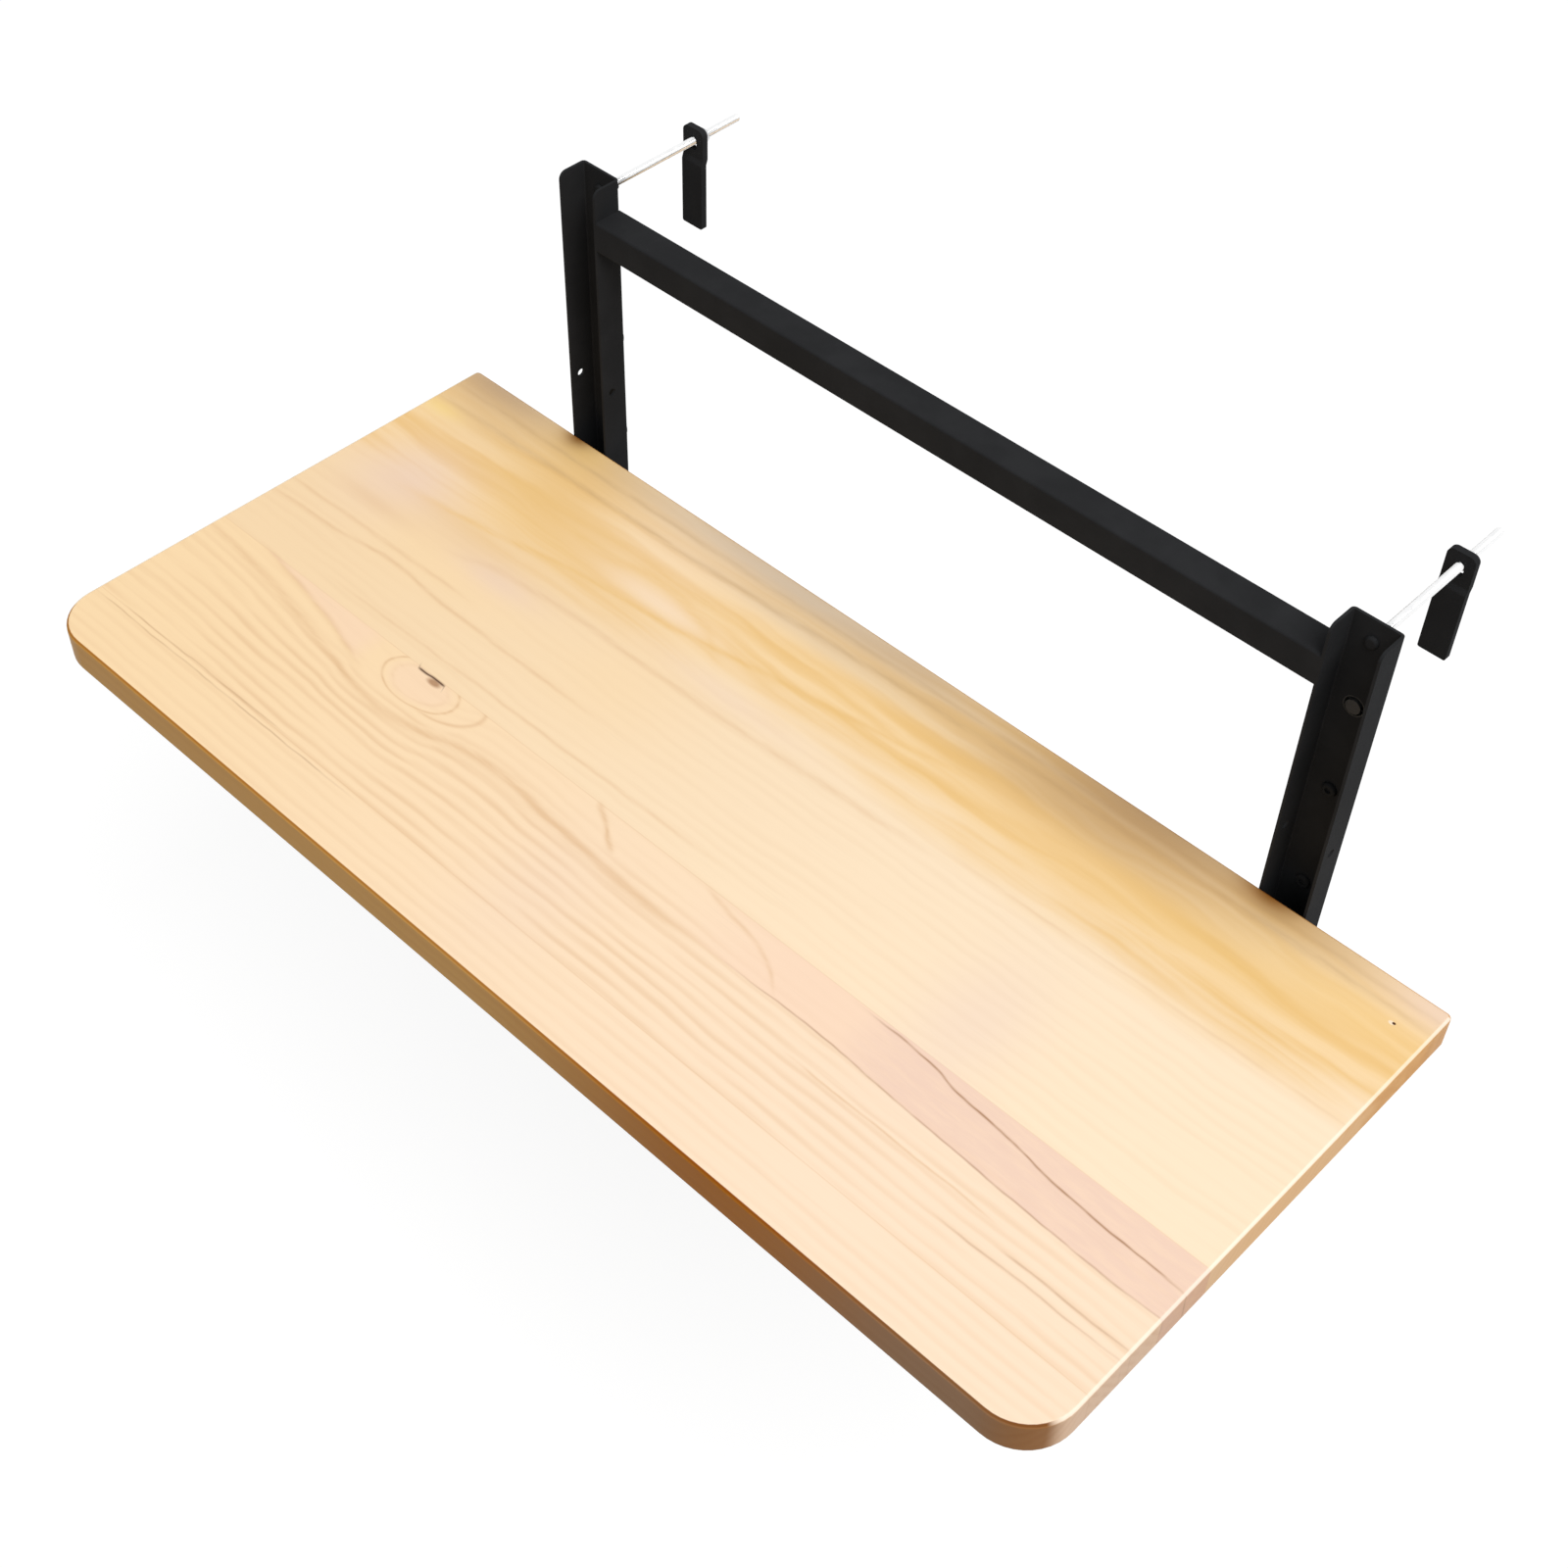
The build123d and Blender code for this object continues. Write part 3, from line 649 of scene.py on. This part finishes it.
def cut_knot(shade, colour, along, across, mottle):
    """The knot that a joint cuts through."""
    front = (across - KNOT_JOINT).rise(-JOINT_SOFT, JOINT_SOFT)
    distance = oval(along, across, *KNOT)
    fill = inside(distance, SOFT_RIM) * KNOT_FILL
    rim = ring_round(distance, 1, KNOT_RIM) * (KNOT_RIM_EVEN + mottle * KNOT_RIM_FLECKS)
    ring = ring_round(distance, KNOT_RING, KNOT_RING_WIDTH) * mottle * KNOT_RING_STRENGTH
    shell = ring_round(oval(along, across, *KNOT_SHELL), 1, SHELL_WIDTH)
    shell = shell * along.rise(*SHELL_RISE) * SHELL_STRENGTH
    core = inside(oval(along, across, *KNOT_CORE), CORE_RIM) * CORE_STRENGTH
    for share, tone in ((fill, "pink"), (rim, "line"), (ring, "line"), (shell, "line"), (core, "brown")):
        colour = shade.mix(front * share, colour, seen(tone))
    return colour


def pin_hole(shade, colour, along, across):
    """A tiny nick with a pale lip."""
    for place, tone in ((PIN_LIP, "cream"), (PIN_HOLE, "dark")):
        colour = shade.mix(inside(oval(along, across, *place), SOFT_RIM), colour, seen(tone))
    return colour


def streak(shade, along, across, mark):
    """A mark's strength on its path, falling off over its width and fading at its ends."""
    start = mark.path[0][0]
    end = mark.path[-1][0]
    fade = (end - start) * MARK_FADE
    line = shade.curve(along, mark.path)
    return ((across - line) / mark.width).falling() * between(along, start, end, fade) * mark.strength


def turning(shade, value, tints, turns):
    """One tint after another, changing over the given stretches."""
    colour = tints[0]
    for tint, turn in zip(tints[1:], turns):
        colour = shade.mix(value.rise(*turn), colour, tint)
    return colour


def edge_tone(shade, colour, along, across):
    """The same wood on the board's edges.

    The front's tints are darker, with part of the shade on the front painted in, and the short sides show
    end grain with a painted highlight along the arris at the top."""
    side_x, side_y, up = shade.normal()
    level = up * up
    # the front's tints carry part of the shade on the front edge, painted in
    front = turning(shade, along, FRONT_TINTS, FRONT_TURNS)
    front = shade.mix(up.rise(*FRONT_ARRIS_RISE), front, shade.tint(front, FRONT_ARRIS_TINT))
    long_side = shade.mix(side_y.rise(*BACK_TURN), front, BACK_TINT)
    end = turning(shade, across, END_TINTS, END_TURNS)
    short = (side_x * side_x / (PAST_LEVEL - level)).rise(*SHORT_SIDE)
    edge = (1 - level.rise(*LONG_EDGE_TOP)) * (1 - short) + (1 - level.rise(*END_EDGE_TOP)) * short
    # painted highlight along the rounded top edge of the short sides
    arris = up.rise(*END_ARRIS_FOOT) * (1 - level.rise(*END_ARRIS_TOP)) * short
    colour = shade.mix(edge, colour, shade.tint(colour, shade.mix(short, long_side, end)))
    return shade.mix(arris * END_ARRIS_STRENGTH, colour, END_ARRIS_HIGHLIGHT)


def pine():
    """Pale varnished pine: glued boards with rings, a cut knot and a band of pink heartwood."""
    shade = Shade("pine")
    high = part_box("tabletop")[1]
    here = shade.place((0, high.y + PANEL_TRIM * MM, high.z), (1, -1, -1))
    along, across, _ = here
    mottle = shade.noise(here, MOTTLE_LUMPS, detail=3, rough=0.6, seed=8.0).rise(*MOTTLE_RISE)
    wavy = across + shade.wave(here, WAVE_LUMPS, seed=6.0) * WAVE_HEIGHT
    colour = glued_staves(shade, here)
    # some of these spots are painted shade and reflection, not tones of the wood
    for spot in SPOTS:
        near = oval(along, across, spot.middle, spot.reach).falling()
        colour = shade.mix(near * spot.strength, colour, seen(spot.colour))
    colour = heartwood(shade, colour, along, across, mottle)
    broken = MARK_EVEN + mottle * (1 - MARK_EVEN)
    for mark in MARKS:
        colour = shade.mix(streak(shade, along, wavy, mark) * broken, colour, seen(mark.colour))
    colour = cut_knot(shade, colour, along, wavy, mottle)
    colour = shade.mix(streak(shade, along, across, CRACK), colour, seen(CRACK.colour))
    colour = pin_hole(shade, colour, along, across)
    fibre = shade.noise(here, FIBRE_LUMPS, detail=3, rough=0.6)
    colour = shade.tint(colour, shade.grey(1 - fibre.rise(*FIBRE_RISE) * FIBRE_SHADE))
    colour = edge_tone(shade, colour, along, across)
    shade.bump(fibre, FIBRE_HEIGHT, FIBRE_BUMP)
    rough = PINE_ROUGH + (fibre - NOISE_MIDDLE) * PINE_ROUGH_SPREAD
    return shade.set(Base_Color=colour, Roughness=rough, Specular_IOR_Level=PINE_SPECULAR)


def powder_coat(name, colour, rough, grain):
    """Satin powder coat with a fine orange-peel skin."""
    shade = Shade(name)
    here = shade.place()
    peel = shade.noise(here, [grain] * 3)
    cloud = shade.noise(here, [STEEL_CLOUD] * 3, detail=3, rough=0.6, seed=2.0)
    tone = shade.mix(cloud.rise(*STEEL_CLOUD_RISE), colour, [level * STEEL_LIFT for level in colour])
    shade.bump(peel, STEEL_PEEL_HEIGHT, STEEL_PEEL_BUMP)
    rough = rough + (cloud - NOISE_MIDDLE) * STEEL_ROUGH_SPREAD
    return shade.set(Base_Color=tone, Roughness=rough, Specular_IOR_Level=STEEL_SPECULAR)


def zinc_plate(name, dull, bright):
    """Zinc plate with faint clouds and fine scratches."""
    shade = Shade(name)
    here = shade.place()
    cloud = shade.noise(here, [ZINC_CLOUD] * 3, detail=3, rough=0.6)
    scratch = shade.noise(here, ZINC_SCRATCH, rough=0.6, seed=4.0)
    tone = shade.mix(cloud.rise(*CLOUD_RISE), dull, bright)
    shade.bump(scratch, ZINC_SCRATCH_HEIGHT, ZINC_SCRATCH_BUMP)
    rough = ZINC_ROUGH + (cloud - NOISE_MIDDLE) * ZINC_ROUGH_SPREAD
    return shade.set(Base_Color=tone, Metallic=1.0, Roughness=rough)


def moulded(name, colour, rough, grain, height):
    """Moulded rubber or plastic with a fine grain."""
    shade = Shade(name)
    here = shade.place()
    fine = shade.noise(here, [grain] * 3, detail=3, rough=0.6)
    cloud = shade.noise(here, [MOULDED_CLOUD] * 3, seed=3.0)
    tone = shade.mix(cloud.rise(*CLOUD_RISE), colour, [level * MOULDED_LIFT for level in colour])
    shade.bump(fine, height, MOULDED_BUMP)
    return shade.set(Base_Color=tone, Roughness=rough + (fine - NOISE_MIDDLE) * MOULDED_ROUGH_SPREAD)


MATERIALS = {
    "pine": pine(),
    "black_steel": powder_coat("black_powder_coat", (0.0203, 0.0208, 0.0220), rough=0.55, grain=0.55),
    "zinc": zinc_plate("zinc_plate", dull=(0.60, 0.61, 0.62), bright=(0.76, 0.77, 0.78)),
    "black_hardware": powder_coat("black_oxide", (0.0190, 0.0195, 0.0206), rough=0.45, grain=0.3),
    "rubber": moulded("black_rubber", (0.014, 0.014, 0.014), rough=0.70, grain=0.35, height=0.06),
    "nylon": moulded("natural_nylon", (0.70, 0.69, 0.64), rough=0.42, grain=0.5, height=0.03),
}
ROD_ZINC = zinc_plate("bright_zinc", dull=(0.90, 0.905, 0.91), bright=(0.96, 0.96, 0.96))
SLOT_OF = {part["node"]: part["material_slot"] for part in frame["record"]["subparts"]}
BODY_OF = {node: body for body, nodes in frame["record"]["behaviour"]["bodies"].items() for node in nodes}


def dress_nodes():
    """Give every node the finish of its material slot."""
    for name, node in frame["nodes"].items():
        node.data.materials.clear()
        node.data.materials.append(MATERIALS[SLOT_OF[name]])


def split(points, axis, gap):
    """Groups of points told apart by a gap along an axis."""
    points = sorted(points, key=lambda point: point[axis])
    groups = [[points[0]]]
    for before, point in zip(points, points[1:]):
        if point[axis] - before[axis] > gap:
            groups.append([])
        groups[-1].append(point)
    return groups


def corners(points):
    """The lowest and highest corner of a group of points."""
    return [Vector(pick(point[axis] for point in points) for axis in range(3)) for pick in (min, max)]


def solids(node, *gaps):
    """The lowest and highest corner of each solid of a node, in millimetres.

    Solids are told apart by gaps along X, then Y."""
    groups = [[vertex.co / MM for vertex in frame["nodes"][node].data.vertices]]
    for axis, gap in enumerate(gaps or (SIDE_GAP,)):
        groups = [part for group in groups for part in split(group, axis, gap)]
    return [corners(group) for group in groups]


def turned(rows, place, ring=False, sides=SIDES):
    """Points and faces of a body turned about an axis.

    A row is a radius and a height, or gives them for an angle. A ring's last row joins its first."""
    points = []
    for row in rows:
        for step in range(sides):
            angle = 2 * math.pi * step / sides
            radius, height = row(angle) if callable(row) else row
            points.append(place(radius * math.cos(angle), radius * math.sin(angle), height) * MM)
    faces = []
    for number in range(len(rows) if ring else len(rows) - 1):
        near = number * sides
        far = (number + 1) % len(rows) * sides
        for step in range(sides):
            after = (step + 1) % sides
            faces.append((near + step, near + after, far + after, far + step))
    if not ring:
        faces.append(range(sides))
        faces.append(range(len(points) - sides, len(points)))
    return points, faces


def add_piece(name, node, parts, slot=None, finish=None):
    """A piece of turned parts on a node's body. It stands for the node unless it has a slot of its own."""
    points = []
    faces = []
    for part_points, part_faces in parts:
        start = len(points)
        points += part_points
        faces += [[start + corner for corner in face] for face in part_faces]
    mesh = bpy.data.meshes.new(name)
    mesh.from_pydata(points, [], faces)
    work = bmesh.new()
    work.from_mesh(mesh)
    bmesh.ops.recalc_face_normals(work, faces=work.faces)
    work.to_mesh(mesh)
    work.free()
    mesh.shade_smooth()
    mesh.set_sharp_from_angle(angle=math.radians(SHARP_ANGLE))
    mesh.materials.append(finish or MATERIALS[slot or SLOT_OF[node]])
    piece = bpy.data.objects.new(name, mesh)
    bpy.context.scene.collection.objects.link(piece)
    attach(piece, BODY_OF[node])
    if slot is None:
        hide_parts(node)


def hexagon(flats, angle):
    """How far a hexagon's side is from its middle, with a corner at angle 0."""
    return flats / 2 / math.cos(angle % (math.pi / 3) - math.pi / 6)


def hex_edge(flats, height, down):
    """A row along a hexagon's edge at a height, lowered or raised where the corners are turned off."""
    def row(angle):
        radius = hexagon(flats, angle)
        drop = (radius - flats / 2 * CROWN) * math.tan(CORNER_SLOPE)
        return radius, height - down * drop
    return row


def thread(radius, start, end):
    """Rows of a screw thread between two heights."""
    def at(height):
        def row(angle):
            from_crest = abs((height / PITCH - angle / (2 * math.pi)) % 1 * 2 - 1)
            return radius - THREAD_DEPTH * PITCH * min(1, from_crest * THREAD_FLANK), height
        return row
    count = math.ceil((end - start) / PITCH * ROWS_PER_TURN)
    return [at(start + (end - start) * step / count) for step in range(count + 1)]


def nut(flats, bore, height, place):
    """A hexagonal nut with turned-off corners and a countersunk bore."""
    crown = flats / 2 * CROWN
    rows = [
        (bore + BEVEL, 0),
        (crown, 0),
        hex_edge(flats, 0, -1),
        hex_edge(flats, height, 1),
        (crown, height),
        (bore + BEVEL, height),
        (bore, height - BEVEL),
        (bore, BEVEL),
    ]
    return turned(rows, place, ring=True)


def lock_nut(flats, bore, height, place):
    """A lock nut: a hexagonal foot and a round collar, crimped over its insert."""
    crown = flats / 2 * CROWN
    foot = height * LOCK_FOOT
    collar = flats * COLLAR
    rows = [
        (bore + BEVEL, 0),
        (crown, 0),
        hex_edge(flats, 0, -1),
        hex_edge(flats, foot, 1),
        (crown, foot),
        (collar, foot + BEVEL),
        (collar, height - 3 * BEVEL),
        (collar - BEVEL, height - BEVEL),
        (collar - 3 * BEVEL, height),
        (collar - 4 * BEVEL, height - BEVEL),
        (collar - 4 * BEVEL, foot),
        (bore, foot),
        (bore, BEVEL),
    ]
    return turned(rows, place, ring=True)


def insert(flats, bore, height, place):
    """The plastic ring in a lock nut's collar."""
    outer = flats * COLLAR - 4 * BEVEL - INSERT_PLAY
    foot = height * LOCK_FOOT + INSERT_PLAY
    top = height - BEVEL
    rows = [
        (bore, foot),
        (outer, foot),
        (outer, top - BEVEL),
        (outer - BEVEL, top),
        (bore + BEVEL, top),
        (bore, top - BEVEL),
    ]
    return turned(rows, place, ring=True)


def bolt(flats, radius, head, length, place):
    """A hexagon-head bolt: its head stands up from height 0 and its shank goes down."""
    crown = flats / 2 * CROWN
    end = -length + BEVEL
    rows = [
        (crown - BEVEL, head),
        (crown, head),
        hex_edge(flats, head, 1),
        lambda angle: (hexagon(flats, angle), BEVEL),
        (crown, BEVEL),
        (crown, 0),
        (radius, 0),
        *thread(radius, end, end + BOLT_THREAD)[::-1],
        (radius - THREAD_DEPTH - BEVEL, -length),
    ]
    return turned(rows, place)


def threaded_rod(radius, length, place):
    """A rod with a thread from end to end and a turned point."""
    rows = [
        (radius - BEVEL, 0),
        *thread(radius, BEVEL, length - ROD_POINT),
        (radius - ROD_POINT, length),
    ]
    return turned(rows, place, sides=ROD_SIDES)


def cross_screw(head_radius, head, radius, length, place):
    """A pan-head wood screw with a cross recess."""
    def crown(share):
        def row(angle):
            out = head_radius * share
            x = abs(out * math.cos(angle))
            y = abs(out * math.sin(angle))
            in_arm = max(0, min(1, (RECESS_HALF - min(x, y)) / RECESS_EDGE + 1))
            in_reach = max(0, min(1, (RECESS_REACH - out) / RECESS_EDGE))
            dome = head * (1 - DOME_DROP * share ** DOME_POWER)
            return out, dome - RECESS_DEPTH * in_arm * in_reach
        return row
    rows = [crown(step / CROWN_ROWS) for step in range(1, CROWN_ROWS + 1)]
    rows += [
        (head_radius, 0),
        (radius, 0),
        (radius, -length * SCREW_SHANK),
        (radius * SCREW_TIP, -length),
    ]
    return turned(rows, place)


def along_x(x, y, z, way):
    """A place whose height runs along X, to one side."""
    return lambda up, side, height: Vector((x + way * height, y + side, z + up))


def along_y(x, y, z):
    """A place whose height runs along Y."""
    return lambda side, up, height: Vector((x + side, y + height, z + up))


def below(x, y, z):
    """A place whose height runs down."""
    return lambda side, back, height: Vector((x + side, y + back, z - height))


def post_sides(side):
    """The X of a post's outer and inner side, and the way out."""
    low, high = solids(f"{side}_post")[0]
    return (low.x, high.x, -1) if side == "left" else (high.x, low.x, 1)


def make_pivots():
    """Bolts through the posts, with lock nuts and their plastic rings, at the hinges and the struts."""
    bore = BOLT_RADIUS + BORE_PLAY
    for name in ("hinge", "strut"):
        bolts = []
        nuts = []
        inserts = []
        boxes = zip(solids(f"{name}_bolts"), solids(f"{name}_nuts"))
        for side, (bolt_box, nut_box) in zip(("left", "right"), boxes):
            outer, inner, way = post_sides(side)
            # The bolt's shorter part, its head, stands out of the post
            head, length = sorted((outer - bolt_box[0].x, bolt_box[1].x - outer))
            middle = (nut_box[0] + nut_box[1]) / 2
            size = nut_box[1] - nut_box[0]
            head_seat = along_x(outer, middle.y, middle.z, way)
            nut_seat = along_x(inner, middle.y, middle.z, -way)
            bolts.append(bolt(size.y, BOLT_RADIUS, head, length, head_seat))
            nuts.append(lock_nut(size.y, bore, size.x, nut_seat))
            inserts.append(insert(size.y, bore, size.x, nut_seat))
        add_piece(f"{name}_hex_bolts", f"{name}_bolts", bolts)
        add_piece(f"{name}_lock_nuts", f"{name}_nuts", nuts)
        add_piece(f"{name}_nut_inserts", f"{name}_nuts", inserts, "nylon")


def rod_nut(box, bore):
    """A nut on a rod, as large as a box and in its place."""
    low, high = box
    middle = (low + high) / 2
    return nut(high.z - low.z, bore, high.y - low.y, along_y(middle.x, low.y, middle.z))


def make_rods():
    """The clamps' threaded rods, their nuts, and the long nuts where they leave the posts."""
    long_nuts = []
    for side, long_nut in zip(("left", "right"), solids("rod_nuts")):
        low, high = solids(f"{side}_clamp_rod")[0]
        middle = (low + high) / 2
        radius = (high.x - low.x) / 2
        rod = threaded_rod(radius, high.y - low.y, along_y(middle.x, low.y, middle.z))
        clamp_nut = rod_nut(solids(f"{side}_clamp_nut")[0], radius + BORE_PLAY)
        add_piece(f"{side}_threaded_rod", f"{side}_clamp_rod", [rod], finish=ROD_ZINC)
        add_piece(f"{side}_hex_nut", f"{side}_clamp_nut", [clamp_nut])
        long_nuts.append(rod_nut(long_nut, radius + BORE_PLAY))
    add_piece("long_hex_nuts", "rod_nuts", long_nuts)


def make_screws():
    """The wood screws that hold the arms to the board."""
    screws = []
    for low, high in solids("arm_screws", SIDE_GAP, SCREW_GAP):
        middle = (low + high) / 2
        place = below(middle.x, middle.y, low.z + SCREW_HEAD)
        length = high.z - low.z - SCREW_HEAD
        screws.append(cross_screw((high.x - low.x) / 2, SCREW_HEAD, SCREW_RADIUS, length, place))
    add_piece("cross_head_screws", "arm_screws", screws)


def seen_rays(nodes, links):
    """1 for rays from the camera and for those seen in gloss or through glass."""
    path = nodes.new("ShaderNodeLightPath")
    total = path.outputs["Is Camera Ray"]
    for name in ("Is Glossy Ray", "Is Transmission Ray"):
        added = nodes.new("ShaderNodeMath")
        added.operation = "MAXIMUM"
        links.new(total, added.inputs[0])
        links.new(path.outputs[name], added.inputs[1])
        total = added.outputs[0]
    return total


def make_floor():
    """A plain pale floor that keeps the shadow."""
    level = cad_box[0].z - FLOOR_DROP
    bpy.ops.mesh.primitive_plane_add(size=FLOOR_SIZE, location=(0, 0, level))
    floor = bpy.context.object
    floor.name = "floor"
    material = bpy.data.materials.new("floor")
    material.use_nodes = True
    nodes = material.node_tree.nodes
    links = material.node_tree.links
    nodes.clear()
    paint = nodes.new("ShaderNodeBsdfDiffuse")
    paint.inputs["Color"].default_value = (*FLOOR_COLOUR, 1)
    glow = nodes.new("ShaderNodeEmission")
    scaled = nodes.new("ShaderNodeMath")
    scaled.operation = "MULTIPLY"
    links.new(seen_rays(nodes, links), scaled.inputs[0])
    scaled.inputs[1].default_value = FLOOR_GLOW
    links.new(scaled.outputs[0], glow.inputs["Strength"])
    both = nodes.new("ShaderNodeAddShader")
    links.new(paint.outputs[0], both.inputs[0])
    links.new(glow.outputs[0], both.inputs[1])
    output = nodes.new("ShaderNodeOutputMaterial")
    links.new(both.outputs[0], output.inputs["Surface"])
    floor.data.materials.append(material)


def make_surround():
    """A pale even surround, white where it is seen."""
    world = bpy.data.worlds.new("studio")
    bpy.context.scene.world = world
    world.use_nodes = True
    nodes = world.node_tree.nodes
    links = world.node_tree.links
    nodes.clear()
    level = nodes.new("ShaderNodeMapRange")
    links.new(seen_rays(nodes, links), level.inputs["Value"])
    level.inputs["To Min"].default_value = SKY_LIGHT
    level.inputs["To Max"].default_value = 1
    back = nodes.new("ShaderNodeBackground")
    links.new(level.outputs["Result"], back.inputs["Strength"])
    back.inputs["Color"].default_value = (1, 1, 1, 1)
    output = nodes.new("ShaderNodeOutputWorld")
    links.new(back.outputs[0], output.inputs["Surface"])


def make_key_light():
    """A large soft light from above on the right."""
    lamp = bpy.data.lights.new("key", "AREA")
    lamp.shape = "DISK"
    lamp.size = KEY_SIZE
    lamp.energy = KEY_POWER
    key = bpy.data.objects.new("key", lamp)
    bpy.context.scene.collection.objects.link(key)
    middle = (cad_box[0] + cad_box[1]) / 2
    direction = Vector(KEY_DIRECTION).normalized()
    key.location = middle + direction * KEY_DISTANCE
    key.rotation_euler = direction.to_track_quat("Z", "Y").to_euler()


def make_camera():
    """The camera at the photograph's view."""
    data = bpy.data.cameras.new("camera")
    data.sensor_width = CAMERA_SENSOR_MM
    data.lens = CAMERA_LENS_MM
    camera = bpy.data.objects.new("camera", data)
    bpy.context.scene.collection.objects.link(camera)
    camera.location = CAMERA_PLACE
    camera.rotation_euler = [math.radians(angle) for angle in CAMERA_ANGLES]
    bpy.context.scene.camera = camera


dress_nodes()
make_pivots()
make_rods()
make_screws()
make_floor()
make_surround()
make_key_light()
make_camera()
bpy.context.scene.view_settings.view_transform = "Standard"
